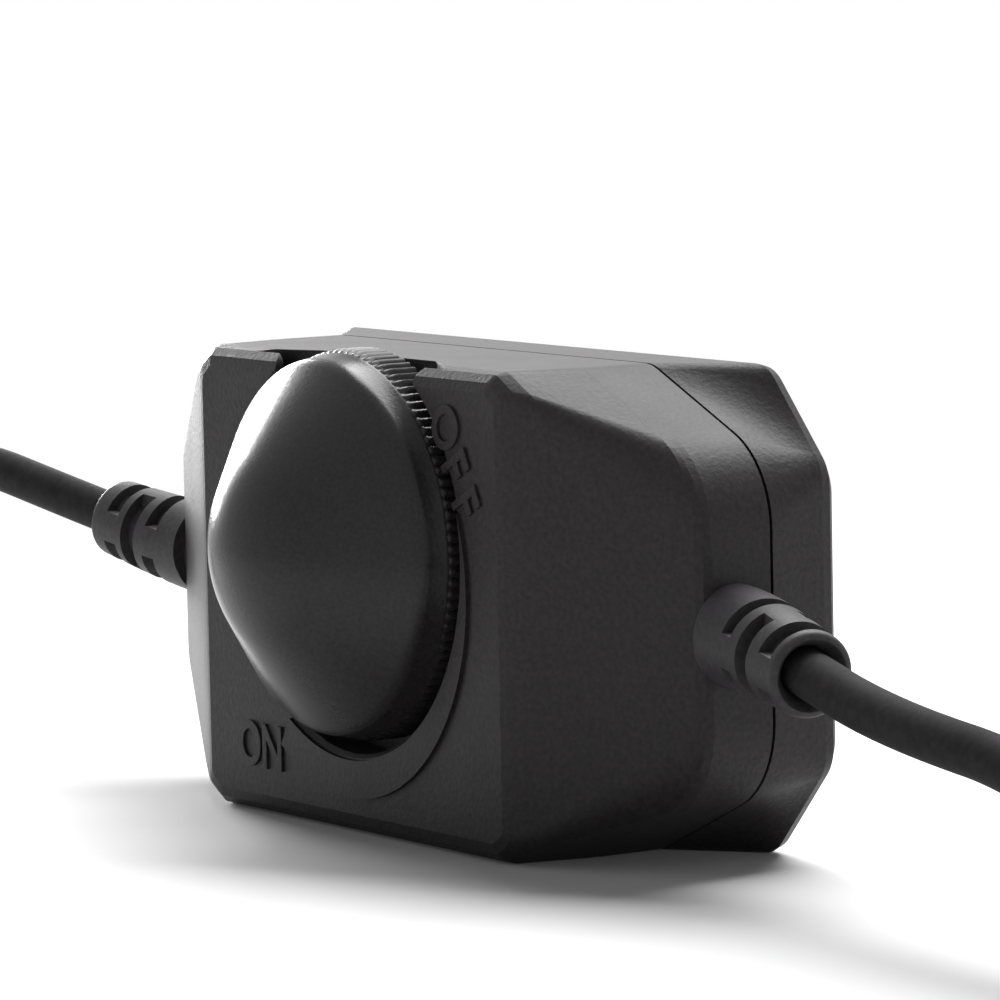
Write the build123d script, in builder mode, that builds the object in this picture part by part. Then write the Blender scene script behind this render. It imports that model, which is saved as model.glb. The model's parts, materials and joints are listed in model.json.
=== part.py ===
from build123d import *
import os
from math import atan2, cos, hypot, pi, radians, sin, sqrt, tan

# In-line rotary dimmer for LED strip light, standing on its long narrow side.
# X runs along the cords, Y from the knob to the back, Z up. Millimetres.
# The origin is the middle of the narrow side that the dimmer stands on.
# Depths are counted from the flat front face towards the back.

# Housing
length = 70.8
height = 35.0
depth = 19.5
face_inset = 14.9
shoulder_depth = 7.0
shoulder_soft = 0.7
parting = 12.8
parting_gap = 0.24
wall = 1.8
corner_run = 14.2
corner_drop = 6.2
corner_round_top = 4.0
corner_round_end = 7.0
face_corner_run = 1.2
face_corner_drop = 0.9
face_corner_round = 0.8
edge_round = 1.5
back_taper = 0.9
back_corner_run = 6.4
back_corner_drop = 6.9
back_corner_round = 3.0
back_round = 1.6
rim_height = 1.2
rim_thickness = 0.8
rim_clearance = 0.1

# Knob's wheel and the round recess that it turns in
wheel_radius = 14.4
wheel_front = -0.3
wheel_width = 3.3
wheel_reach = 0.7
wheel_gap = 0.93
knurl_count = 108
knurl_depth = 0.35
recess_clearance = 0.3
recess_wall = 1.5
lip_chamfer = 0.3

# Opening in the top side that the wheel stands out of
slot_half = 13.4
slot_back_half = 7.6
slot_front = 0.8
mouth_half = 9.5
mouth_round = 1.2
mouth_depth = 2.5

# Raised wedge round the recess, from OFF to ON
wedge_gap = 0.45
wedge_height = 0.3
wedge_width = 2.4
wedge_thin_angle = 12.8
wedge_end_angle = -121.0

# Cone and inside of the knob
knob_tip = 9.9
cap_radius = 11.5
cap_half_angle = 37.8
skirt_step = 0.6
skirt_round = 0.5
knob_wall = 1.4
hub_radius = 5.0
hub_back = 0.4

# Turning sleeve, shaft and body of the potentiometer
shaft_radius = 3.0
shaft_flat = 1.5
shaft_tip = -6.0
shaft_fit = 0.02
sleeve_radius = 3.5
nut_half_width = 5.0
nut_height = 2.0
washer_radius = 5.6
pot_radius = 8.0
pin_pitch = 5.0
pin_width = 1.0
pin_thickness = 0.5
pin_drop = 1.4
wiper_radius = 5.6
wiper_thickness = 0.8
brush_reach = 4.6
brush_length = 1.0
track_thickness = 0.8
track_hole = 2.6
sheet = 0.5
clearance = 0.05

# Circuit board and the screws that clamp it
board_end_gap = 5.4
board_side_gap = 6.5
board_thickness = 1.6
board_front = 13.0
board_chamfer = 1.2
screw_end_gap = 3.4
screw_side_gap = 2.8
screw_radius = 1.1
screw_length = 9.0
head_radius = 2.0
head_height = 1.4
head_sink = 0.5
boss_radius = 2.6
post_wall = 0.7

# Cords and their strain reliefs
cord_radius = 1.7
relief_depth = 10.0
relief_drop = 0.3
relief_root = 3.65
relief_tip = 3.05
relief_length = 12.0
relief_round = 0.45
relief_mouth = 0.55
neck_radius = 3.1
slot_widths = (1.2, 1.5, 1.5)
slot_core = 2.4
slot_bridge = 2.5
slot_places = (4.4, 7.1, 10.2)
flange_radius = 4.3
flange_thickness = 1.5
flange_gap = 0.5
flange_trim = 1.8
cord_inside = 6.9
lead_radius = 0.6
core_spread = 0.8
joint_inset = 11.9
joint_spread = 2.2
joint_height = 0.7

# Connectors on the cords' ends
jack_radius = 5.2
jack_length = 26.0
jack_bore = 2.9
jack_bore_depth = 9.8
jack_pin_radius = 1.0
plug_radius = 5.0
plug_length = 21.0
barrel_radius = 2.75
barrel_wall = 0.35
barrel_length = 9.5
contact_radius = 1.25
contact_wall = 0.3
cord_grip = 3.0

# What follows from them
half = length / 2
mid_z = height / 2
front = -depth / 2
face_half = half - face_inset
back_half = half - back_taper
slope = face_inset / shoulder_depth
knob_z = height - wheel_radius + wheel_reach
wheel_back = wheel_front + wheel_width
recess_radius = wheel_radius + wheel_gap
recess_depth = wheel_back + recess_clearance
pot_front = recess_depth + recess_wall + clearance
can_back = board_front - clearance
pcb_back = board_front + board_thickness
rim_front = parting - parting_gap / 2
rim_back = parting + parting_gap / 2
inner_back = depth - wall
screw_x = half - board_end_gap - screw_end_gap
screw_rise = mid_z - board_side_gap - screw_side_gap
screw_places = [(x, mid_z + z) for x in (-screw_x, screw_x) for z in (-screw_rise, screw_rise)]
relief_y = front + relief_depth
relief_z = mid_z - relief_drop

# The cords' routes: points chosen by hand, joined by straight runs and round bends
left_route = [
    (cord_inside - half, relief_y, relief_z), (-half - 0.6, relief_y, relief_z),
    (-half - 14.6, -2.8, 19.4), (-half - 30.6, -6.15, 22.4),
    (-half - 56.6, -8.75, jack_radius), (-half - 69.6, -8.75, jack_radius),
]
right_route = [
    (half - cord_inside, relief_y, relief_z), (half + 0.6, relief_y, relief_z),
    (half + 14.6, -2.85, 15.5), (half + 38.6, -7.75, 13.8),
    (half + 55.6, -9.15, plug_radius), (half + 68.6, -9.15, plug_radius),
]


def at_depth(y):
    """Plane that faces the front, at a depth y behind the front face."""
    return Plane(origin=(0, front + y, 0), x_dir=(1, 0, 0), z_dir=(0, -1, 0))


def around(radius, angle):
    """Point at a radius and an angle in degrees round the knob's axis."""
    return (radius * cos(radians(angle)), knob_z + radius * sin(radians(angle)))


def along(start, direction):
    """Plane across a direction, with its own x kept level."""
    way = Vector(*direction).normalized()
    level = Vector(-way.Y, way.X, 0).normalized()
    return Plane(origin=start, x_dir=level, z_dir=way)


def outline(y, half_x, half_z, run, drop, round_top, round_end):
    """Long octagon of the housing at one depth, with its corners rounded."""
    points = [
        (half_x - run, half_z), (half_x, half_z - drop), (half_x, drop - half_z), (half_x - run, -half_z),
        (run - half_x, -half_z), (-half_x, drop - half_z), (-half_x, half_z - drop), (run - half_x, half_z),
    ]
    with BuildSketch(at_depth(y)) as profile:
        with BuildLine():
            Polyline(*[(x, z + mid_z) for x, z in points], close=True)
        make_face()
        upper = [v for v in profile.vertices() if abs(v.X) < half_x - run / 2]
        fillet(upper, radius=round_top)
        ends = [v for v in profile.vertices() if abs(abs(v.X) - half_x) < 1e-4]
        fillet(ends, radius=round_end)
    return profile.sketch


def outlines(rows):
    """Outlines at several depths, for a loft."""
    return [outline(*row) for row in rows]


def between(low, high, share):
    """Value at a share of the way from low to high."""
    return low + share * (high - low)


def front_row(y, half_x, half_z):
    """Outline at a depth in front of the shoulder, where the corners grow with depth."""
    share = min(1, y / shoulder_depth)
    return (
        y, half_x, half_z,
        between(face_corner_run, corner_run, share), between(face_corner_drop, corner_drop, share),
        between(face_corner_round, corner_round_top, share),
        between(face_corner_round, corner_round_end, share),
    )


def corner_radii(route, share=0.45):
    """Bend radius at each inner point of a route, from its shorter neighbouring run."""
    radii = []
    for before, here, after in zip(route, route[1:], route[2:]):
        a = Vector(*here) - Vector(*before)
        b = Vector(*after) - Vector(*here)
        turn = radians(a.get_angle(b))
        radii.append(share * min(a.length, b.length) / tan(turn / 2))
    return radii


def route_length(route):
    """Length of a route with its bends rounded."""
    total = 0.0
    for start, end in zip(route, route[1:]):
        total += (Vector(*end) - Vector(*start)).length
    for before, here, after, radius in zip(route, route[1:], route[2:], corner_radii(route)):
        a = Vector(*here) - Vector(*before)
        b = Vector(*after) - Vector(*here)
        turn = radians(a.get_angle(b))
        total -= 2 * radius * tan(turn / 2) - radius * turn
    return total


def cord_solid(route, radius):
    """Round cord along a route."""
    with BuildPart() as cord:
        with BuildLine() as path:
            FilletPolyline(*route, radius=corner_radii(route))
        with BuildSketch(along(route[0], Vector(*route[1]) - Vector(*route[0]))):
            Circle(radius)
        sweep(path=path.line)
    return cord.part


# Front half of the housing: its inside first
diagonal = hypot(corner_run, corner_drop)
inner_half = half - wall
inner_high = mid_z - wall
inner_run = corner_run - wall * (1 - (diagonal - corner_run) / corner_drop)
inner_drop = corner_drop - wall * (corner_run + corner_drop - diagonal) / corner_run
slope_wall = wall * sqrt(1 + 1 / slope ** 2)
inner_shoulder = slope_wall + (inner_half - face_half) / slope
inner_round_top = corner_round_top / 2
inner_round_end = corner_round_end - wall
inner_rows = [
    (inner_half, inner_high, inner_run, inner_drop, inner_round_top, inner_round_end),
    (inner_half - rim_clearance, inner_high - rim_clearance, inner_run, inner_drop,
     inner_round_top, inner_round_end),
    (inner_half - rim_clearance - rim_thickness, inner_high - rim_clearance - rim_thickness, inner_run,
     inner_drop, inner_round_top, inner_round_end - rim_thickness),
]

with BuildPart() as pocket_keep:
    with BuildSketch(at_depth(0)):
        with Locations((0, knob_z)):
            Circle(recess_radius + recess_wall)
        with Locations((0, height)):
            Rectangle(2 * (slot_half + recess_wall), 4 * recess_wall + 2 * wall)
    extrude(amount=-(recess_depth + recess_wall))
    with BuildSketch(at_depth(0)):
        with Locations(*screw_places):
            Circle(boss_radius)
    extrude(amount=-(board_front - clearance))

with BuildPart() as front_cavity:
    loft(sections=outlines([
        (wall, face_half + slope * (wall - slope_wall), inner_high, face_corner_run / 2, face_corner_drop / 2,
         face_corner_round / 4, face_corner_round / 4),
        (inner_shoulder, *inner_rows[0]),
        (parting, *inner_rows[0]),
    ]), ruled=True)
    add(pocket_keep.part, mode=Mode.SUBTRACT)

slope_angle = atan2(shoulder_depth, face_inset)
soft_start = (half - shoulder_soft * cos(slope_angle), shoulder_depth - shoulder_soft * sin(slope_angle))
soft_end = (half, shoulder_depth + shoulder_soft)
soft_middle = [(a + 2 * corner + b) / 4 for a, corner, b in zip(soft_start, (half, shoulder_depth), soft_end)]
front_rows = []
for turn in (0, 30, 60, 90):
    down = edge_round * (1 - sin(radians(turn)))
    back = edge_round * (1 - cos(radians(turn)))
    front_rows.append(front_row(back, face_half + slope * back - down / 4, mid_z - down))
for x, y in (soft_start, soft_middle, soft_end, (half, rim_front)):
    front_rows.append(front_row(y, x, mid_z))

with BuildPart() as front_shell:
    loft(sections=outlines(front_rows), ruled=True)
    add(front_cavity.part, mode=Mode.SUBTRACT)
    # round recess for the knob's wheel, with a small chamfer on its lip
    with BuildSketch(at_depth(0)):
        with Locations((0, knob_z)):
            Circle(recess_radius)
    extrude(amount=-recess_depth, mode=Mode.SUBTRACT)
    with BuildSketch(at_depth(0)):
        with Locations((0, knob_z)):
            Circle(recess_radius + lip_chamfer)
    with BuildSketch(at_depth(lip_chamfer)):
        with Locations((0, knob_z)):
            Circle(recess_radius)
    loft(mode=Mode.SUBTRACT)
    # opening in the top side, narrower towards the back
    with BuildSketch(Plane(origin=(0, front, height), x_dir=(1, 0, 0), z_dir=(0, 0, 1))):
        with BuildLine():
            Polyline((-slot_half, slot_front), (slot_half, slot_front), (slot_back_half, recess_depth),
                     (-slot_back_half, recess_depth), close=True)
        make_face()
    extrude(amount=-(height - knob_z) / 2, mode=Mode.SUBTRACT)
    # mouth in the front face, with round upper corners
    with BuildSketch(at_depth(0)):
        with BuildLine():
            Polyline((-mouth_half, height - mouth_depth), (mouth_half, height - mouth_depth),
                     (mouth_half, height - mouth_round), (mouth_half + mouth_round, height),
                     (-mouth_half - mouth_round, height), (-mouth_half, height - mouth_round), close=True)
        make_face()
        with Locations((mouth_half + mouth_round, height - mouth_round),
                       (-mouth_half - mouth_round, height - mouth_round)):
            Circle(mouth_round, mode=Mode.SUBTRACT)
    extrude(amount=-slot_front, mode=Mode.SUBTRACT)
    # hole for the potentiometer's sleeve
    with BuildSketch(at_depth(0)):
        with Locations((0, knob_z)):
            Circle(sleeve_radius + 2 * clearance)
    extrude(amount=-(pot_front + clearance), mode=Mode.SUBTRACT)
    # pilot holes in the four posts
    with BuildSketch(at_depth(board_front)):
        with Locations(*screw_places):
            Circle(screw_radius + shaft_fit)
    extrude(amount=screw_length - (inner_back - board_front) + wall, mode=Mode.SUBTRACT)
    # round holes in the end walls for the strain reliefs
    with BuildSketch(Plane.YZ):
        with Locations((relief_y, relief_z)):
            Circle(neck_radius + clearance)
    extrude(amount=length, both=True, mode=Mode.SUBTRACT)
    # raised wedge that grows from OFF to ON
    with BuildSketch(at_depth(wedge_height / 2)):
        with BuildLine():
            wedge_inner = recess_radius + wedge_gap
            wedge_outer = wedge_inner + wedge_width
            middle_angle = (wedge_thin_angle + wedge_end_angle) / 2
            thin = around(wedge_inner, wedge_thin_angle)
            ThreePointArc(thin, around(wedge_outer, middle_angle), around(wedge_outer, wedge_end_angle))
            Line(around(wedge_outer, wedge_end_angle), around(wedge_inner, wedge_end_angle))
            ThreePointArc(around(wedge_inner, wedge_end_angle), around(wedge_inner, middle_angle), thin)
        make_face()
    extrude(amount=1.5 * wedge_height)

# Back half of the housing, closed by four screws
back_rows = [(rim_back, half, mid_z, corner_run, corner_drop, corner_round_top, corner_round_end)]
for turn in (0, 30, 60, 90):
    inward = back_round * (1 - cos(radians(turn)))
    back_rows.append((depth - back_round * (1 - sin(radians(turn))), back_half - inward, mid_z - inward,
                      back_corner_run, back_corner_drop, back_corner_round, back_corner_round))

with BuildPart() as back_cavity:
    loft(sections=outlines([
        (parting - rim_height, *inner_rows[0]),
        (inner_back, back_half - wall, inner_high, back_corner_run + wall / 2, back_corner_drop,
         2 * back_corner_round / 3, 2 * back_corner_round / 3),
    ]), ruled=True)
    with BuildSketch(at_depth(pcb_back + clearance)):
        with Locations(*screw_places):
            Circle(boss_radius + post_wall)
    extrude(amount=-depth, mode=Mode.SUBTRACT)

head_seat = depth - head_height - head_sink
with BuildPart() as back_shell:
    loft(sections=outlines(back_rows), ruled=True)
    add(back_cavity.part, mode=Mode.SUBTRACT)
    # rim that steps inside the front half
    with BuildSketch(at_depth(rim_back)):
        add(outline(rim_back, *inner_rows[1]))
        add(outline(rim_back, *inner_rows[2]), mode=Mode.SUBTRACT)
        with Locations((0, relief_z)):
            Rectangle(length, 2 * (flange_radius + flange_gap), mode=Mode.SUBTRACT)
    extrude(amount=rim_height)
    with BuildSketch(Plane.YZ):
        with Locations((relief_y, relief_z)):
            Circle(neck_radius + clearance)
    extrude(amount=length, both=True, mode=Mode.SUBTRACT)
    # sunk seats and through holes of the screws
    with BuildSketch(at_depth(head_seat)):
        with Locations(*screw_places):
            Circle(head_radius + post_wall / 3)
    extrude(amount=-depth, mode=Mode.SUBTRACT)
    with BuildSketch(at_depth(pcb_back)):
        with Locations(*screw_places):
            Circle(screw_radius + 3 * clearance)
    extrude(amount=-depth, mode=Mode.SUBTRACT)

# Self-tapping screws, all alike
with BuildPart() as shell_screws:
    with BuildSketch(at_depth(head_seat)):
        with Locations(*screw_places):
            Circle(head_radius)
    extrude(amount=-head_height)
    with BuildSketch(at_depth(head_seat)):
        with Locations(*screw_places):
            Circle(screw_radius)
    extrude(amount=screw_length)
    head_top = front + head_seat + head_height
    rims = [e for e in shell_screws.edges().filter_by(GeomType.CIRCLE) if abs(e.center().Y - head_top) < 1e-3]
    chamfer(rims, length=head_height / 4)
    # cross recess
    with BuildSketch(at_depth(head_seat + head_height / 2)):
        with Locations(*screw_places):
            Rectangle(1.2 * head_radius, head_radius / 4)
            Rectangle(head_radius / 4, 1.2 * head_radius)
    extrude(amount=-head_height, mode=Mode.SUBTRACT)

# Knob: cone with a rounded cap, a short skirt and a knurled wheel, hollow from behind
cap_angle = radians(cap_half_angle)
cone_radius = wheel_radius - skirt_step
knurl_root = wheel_radius - knurl_depth
cap_points = [
    (cap_radius * sin(angle), cap_radius - knob_tip - cap_radius * cos(angle))
    for angle in (0, cap_angle / 2, cap_angle)
]
cone_back = cap_points[2][1] + (cone_radius - cap_points[2][0]) * tan(cap_angle)
hollow_radius = knurl_root - knob_wall


def inside_cone(radius):
    """Depth of the hollow's front at a radius, one wall behind the cone."""
    return cone_back + knob_wall / cos(cap_angle) + (radius - cone_radius) * tan(cap_angle)


lathe_plane = Plane(origin=(0, front, knob_z), x_dir=(1, 0, 0), z_dir=(0, 0, 1))
knob_axis = Axis((0, 0, knob_z), (0, 1, 0))
with BuildPart() as knob:
    with BuildSketch(lathe_plane) as half_knob:
        with BuildLine():
            ThreePointArc(*cap_points)
            Polyline(cap_points[2], (cone_radius, cone_back), (knurl_root, wheel_front), (0, wheel_front),
                     cap_points[0])
        make_face()
        fillet([v for v in half_knob.vertices() if abs(v.X - cone_radius) < 1e-4], radius=skirt_round)
    revolve(axis=knob_axis)
    # fine knurl: an even ring of shallow teeth
    with BuildSketch(at_depth(wheel_front)):
        with BuildLine():
            pitch = 360 / knurl_count
            teeth = []
            for tooth in range(knurl_count):
                teeth.append(around(wheel_radius, tooth * pitch))
                teeth.append(around(knurl_root, (tooth + 0.5) * pitch))
            Polyline(*teeth, close=True)
        make_face()
    extrude(amount=-wheel_width)
    # hollow behind, round the hub that grips the shaft
    with BuildSketch(lathe_plane):
        with BuildLine():
            Polyline((hub_radius, wheel_back), (hollow_radius, wheel_back),
                     (hollow_radius, inside_cone(hollow_radius)),
                     (hub_radius, inside_cone(hub_radius)), close=True)
        make_face()
    revolve(axis=knob_axis, mode=Mode.SUBTRACT)
    with BuildSketch(at_depth(hub_back)):
        with Locations((0, knob_z)):
            Circle(hub_radius + clearance)
    extrude(amount=-(wheel_back - hub_back), mode=Mode.SUBTRACT)
    with BuildSketch(at_depth(wheel_back)):
        with Locations((0, knob_z)):
            Circle(shaft_radius + shaft_fit)
        with Locations((0, knob_z + 2 * shaft_radius - shaft_flat)):
            Rectangle(3 * shaft_radius, 2 * (shaft_radius - shaft_fit), mode=Mode.SUBTRACT)
    extrude(amount=wheel_back - shaft_tip + 4 * clearance, mode=Mode.SUBTRACT)

# Potentiometer: flatted shaft that turns, with its wiper, in a fixed sleeve and can
track_front = can_back - sheet - track_thickness
brush_back = track_front - clearance
wiper_back = brush_back - brush_length
shaft_back = wiper_back - wiper_thickness
sleeve_front = hub_back + 4 * clearance
with BuildPart() as pot_shaft:
    with BuildSketch(at_depth(shaft_tip)):
        with Locations((0, knob_z)):
            Circle(shaft_radius)
        with Locations((0, knob_z + 2 * shaft_radius - shaft_flat)):
            Rectangle(3 * shaft_radius, 2 * shaft_radius, mode=Mode.SUBTRACT)
    extrude(amount=-(sleeve_front - shaft_tip))
    with BuildSketch(at_depth(sleeve_front)):
        with Locations((0, knob_z)):
            Circle(shaft_radius)
    extrude(amount=-(shaft_back - sleeve_front))

with BuildPart() as pot_wiper:
    with BuildSketch(at_depth(shaft_back)):
        with Locations((0, knob_z)):
            Circle(wiper_radius)
    extrude(amount=-wiper_thickness)
    with BuildSketch(at_depth(wiper_back)):
        with Locations((0, knob_z + brush_reach)):
            Rectangle(1.8 * brush_length, 1.2 * brush_length)
    extrude(amount=-brush_length)

with BuildPart() as pot_sleeve:
    with BuildSketch(at_depth(pot_front)):
        with Locations((0, knob_z)):
            Circle(pot_radius)
            Circle(shaft_radius + clearance, mode=Mode.SUBTRACT)
    extrude(amount=-sheet)
    with BuildSketch(at_depth(pot_front)):
        with Locations((0, knob_z)):
            Circle(sleeve_radius)
            Circle(shaft_radius + clearance, mode=Mode.SUBTRACT)
    extrude(amount=pot_front - sleeve_front)

with BuildPart() as pot_can:
    with BuildSketch(at_depth(pot_front + sheet)):
        with Locations((0, knob_z)):
            Circle(pot_radius)
            Circle(pot_radius - sheet, mode=Mode.SUBTRACT)
    extrude(amount=-(can_back - pot_front - sheet))
    with BuildSketch(at_depth(can_back)):
        with Locations((0, knob_z)):
            Circle(pot_radius)
    extrude(amount=sheet)

with BuildPart() as pot_track:
    with BuildSketch(at_depth(track_front)):
        with Locations((0, knob_z)):
            Circle(pot_radius - sheet)
            Circle(track_hole, mode=Mode.SUBTRACT)
    extrude(amount=-track_thickness)

with BuildPart() as pot_washer:
    with BuildSketch(at_depth(recess_depth)):
        with Locations((0, knob_z)):
            Circle(washer_radius)
            Circle(sleeve_radius + 2 * clearance, mode=Mode.SUBTRACT)
    extrude(amount=sheet)

with BuildPart() as pot_nut:
    with BuildSketch(at_depth(recess_depth - sheet)):
        with Locations((0, knob_z)):
            RegularPolygon(radius=nut_half_width, side_count=6, major_radius=False)
            Circle(sleeve_radius + shaft_fit, mode=Mode.SUBTRACT)
    extrude(amount=nut_height)

pin_places = [(x, knob_z - pot_radius - pin_drop - pin_thickness / 2) for x in (-pin_pitch, 0, pin_pitch)]
with BuildPart() as pot_terminals:
    # bent pins: down from the can, then back through the board
    pin_back = pcb_back + 2 * pin_thickness
    for x, z in pin_places:
        with BuildSketch(at_depth(can_back - pin_thickness)):
            with Locations((x, knob_z - pot_radius - (pin_drop + pin_thickness) / 2)):
                Rectangle(pin_width, pin_drop + pin_thickness)
        extrude(amount=pin_thickness)
        with BuildSketch(at_depth(can_back - pin_thickness)):
            with Locations((x, z)):
                Rectangle(pin_width, pin_thickness)
        extrude(amount=-(pin_back - can_back + pin_thickness))

# Circuit board with holes for the screws and the potentiometer's pins
with BuildPart() as circuit_board:
    with BuildSketch(at_depth(pcb_back)):
        with Locations((0, mid_z)):
            Rectangle(length - 2 * board_end_gap, height - 2 * board_side_gap)
        chamfer(vertices(), length=board_chamfer)
        with Locations(*screw_places):
            Circle(screw_radius + 4 * clearance, mode=Mode.SUBTRACT)
        with Locations(*pin_places):
            Rectangle(pin_width + 6 * clearance, pin_thickness + 8 * clearance, mode=Mode.SUBTRACT)
    extrude(amount=board_thickness)


def block(place, size, y):
    """Plain component on the board: size is width, height and thickness, and y is its front."""
    with BuildPart() as body:
        with BuildSketch(at_depth(y)):
            with Locations(place):
                Rectangle(size[0], size[1])
        extrude(amount=-size[2])
        chamfer(body.faces().sort_by(Axis.Y)[-1].edges(), length=size[2] / 15)
    return body.part


def pads(places, size):
    """Flat metal legs on the board: size is width, height and thickness."""
    with BuildPart() as legs:
        with BuildSketch(at_depth(pcb_back)):
            with Locations(*places):
                Rectangle(size[0], size[1])
        extrude(amount=-size[2])
    return legs.part


# Components on the back of the board, with their places counted from the middle of the board
transistor_at = (15.5, mid_z + 1.1)
transistor_size = (6.6, 6.1, 2.3)
transistor_tab = (5.4, 1.6, 0.6)
transistor_leg = (0.8, 2.7, 0.6)
transistor_leg_x = 2.3
chip_at = (-8.0, mid_z + 0.5)
chip_size = (4.9, 3.9, 1.5)
chip_leg = (0.42, 1.1, 0.7)
chip_pitch = 1.27
regulator_at = (3.5, mid_z + 7.1)
regulator_size = (4.5, 2.5, 1.5)
regulator_leg = (0.45, 1.1, 0.45)
regulator_pitch = 1.5
diode_at = (13.5, mid_z - 8.3)
diode_size = (4.3, 2.6, 2.1)
diode_leg = (1.1, 1.5, 0.5)
resistor_size = (2.0, 1.25, 0.5)
resistor_inset = 18.9
resistor_pitch = 2.6
resistor_at = [(resistor_inset - half, mid_z + 0.1 + resistor_pitch * (row - 1.5)) for row in range(4)]
resistor_at += [(-1.6, mid_z - 0.5), (-1.6, mid_z - 0.5 + resistor_pitch), (9.6, mid_z - 1.9)]
capacitor_size = (2.0, 1.25, 1.1)
capacitor_at = [(-12.4, mid_z + 7.1), (-4.0, mid_z + 7.1), (-12.6, mid_z - 6.7)]
can_inset = 15.0
can_at = (can_inset - half, mid_z - 5.5)
can_radius = 3.15
can_height = 6.6
can_round = 0.4

transistor_case = block(transistor_at, transistor_size, pcb_back + clearance)
tab_z = transistor_at[1] + (transistor_size[1] + transistor_tab[1]) / 2 - sheet / 2
transistor_plate = pads([(transistor_at[0], tab_z)], transistor_tab)
leg_z = transistor_at[1] - (transistor_size[1] + transistor_leg[1]) / 2 + sheet / 5
leg_places = [(transistor_at[0] + x, leg_z) for x in (-transistor_leg_x, transistor_leg_x)]
transistor_legs = pads(leg_places, transistor_leg)
with BuildPart() as power_transistor:
    add(transistor_case)
    add(transistor_plate)
    add(transistor_legs)

chip_case = block(chip_at, chip_size, pcb_back + 3 * clearance)
leg_z = (chip_size[1] + chip_leg[1]) / 2 - sheet / 2
leg_places = [
    (chip_at[0] + chip_pitch * (pin - 1.5), chip_at[1] + z) for pin in range(4) for z in (-leg_z, leg_z)
]
chip_legs = pads(leg_places, chip_leg)
with BuildPart() as timer_chip:
    add(chip_case)
    add(chip_legs)

regulator_case = block(regulator_at, regulator_size, pcb_back + clearance)
leg_z = regulator_at[1] - (regulator_size[1] + regulator_leg[1]) / 2 + sheet / 5
leg_places = [(regulator_at[0] + regulator_pitch * pin, leg_z) for pin in (-1, 0, 1)]
regulator_legs = pads(leg_places, regulator_leg)
with BuildPart() as regulator:
    add(regulator_case)
    add(regulator_legs)

diode_case = block(diode_at, diode_size, pcb_back + clearance)
leg_x = (diode_size[0] + diode_leg[0]) / 2 - sheet / 5
diode_legs = pads([(diode_at[0] + x, diode_at[1]) for x in (-leg_x, leg_x)], diode_leg)
with BuildPart() as diode:
    add(diode_case)
    add(diode_legs)

with BuildPart() as resistors:
    with BuildSketch(at_depth(pcb_back)):
        with Locations(*resistor_at):
            Rectangle(resistor_size[0], resistor_size[1])
    extrude(amount=-resistor_size[2])

with BuildPart() as chip_capacitors:
    with BuildSketch(at_depth(pcb_back)):
        with Locations(*capacitor_at):
            Rectangle(capacitor_size[0], capacitor_size[1])
    extrude(amount=-capacitor_size[2])

# The storage capacitor is on the front of the board
with BuildPart() as storage_capacitor:
    with BuildSketch(at_depth(board_front)):
        with Locations(can_at):
            Circle(can_radius)
    extrude(amount=can_height)
    can_edges = storage_capacitor.edges().filter_by(GeomType.CIRCLE).sort_by(Axis.Y)
    fillet(can_edges[0], radius=can_round)

joint_x = half - joint_inset
joint_places = [(x, relief_z + z) for x in (-joint_x, joint_x) for z in (-joint_spread, joint_spread)]
with BuildPart() as solder_joints:
    for place in joint_places:
        with BuildSketch(at_depth(board_front)):
            with Locations(place):
                Circle(2 * lead_radius)
        with BuildSketch(at_depth(board_front - joint_height)):
            with Locations(place):
                Circle(1.1 * lead_radius)
        loft()


def inner_lead(side, up):
    """One insulated conductor from a cord's inner end to its solder joint; side and up are 1 or -1."""
    start = (side * (half - cord_inside), relief_y, relief_z + up * core_spread)
    joint = (side * joint_x, front + board_front - joint_height, relief_z + up * joint_spread)
    with BuildPart() as lead:
        with BuildLine() as path:
            Spline(start, joint, tangents=[(-side, 0, 0), (0, 1, 0)], tangent_scalars=[1.0, 0.8])
        with BuildSketch(Plane(origin=start, x_dir=(0, 1, 0), z_dir=(-side, 0, 0))):
            Circle(lead_radius)
        sweep(path=path.line)
    return lead.part


# Cords, and the channels that they leave in what is moulded over them
left_cord = cord_solid(left_route, cord_radius)
right_cord = cord_solid(right_route, cord_radius)
left_channel = cord_solid(left_route[:4], cord_radius + clearance)
right_channel = cord_solid(right_route[:4], cord_radius + clearance)


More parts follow.
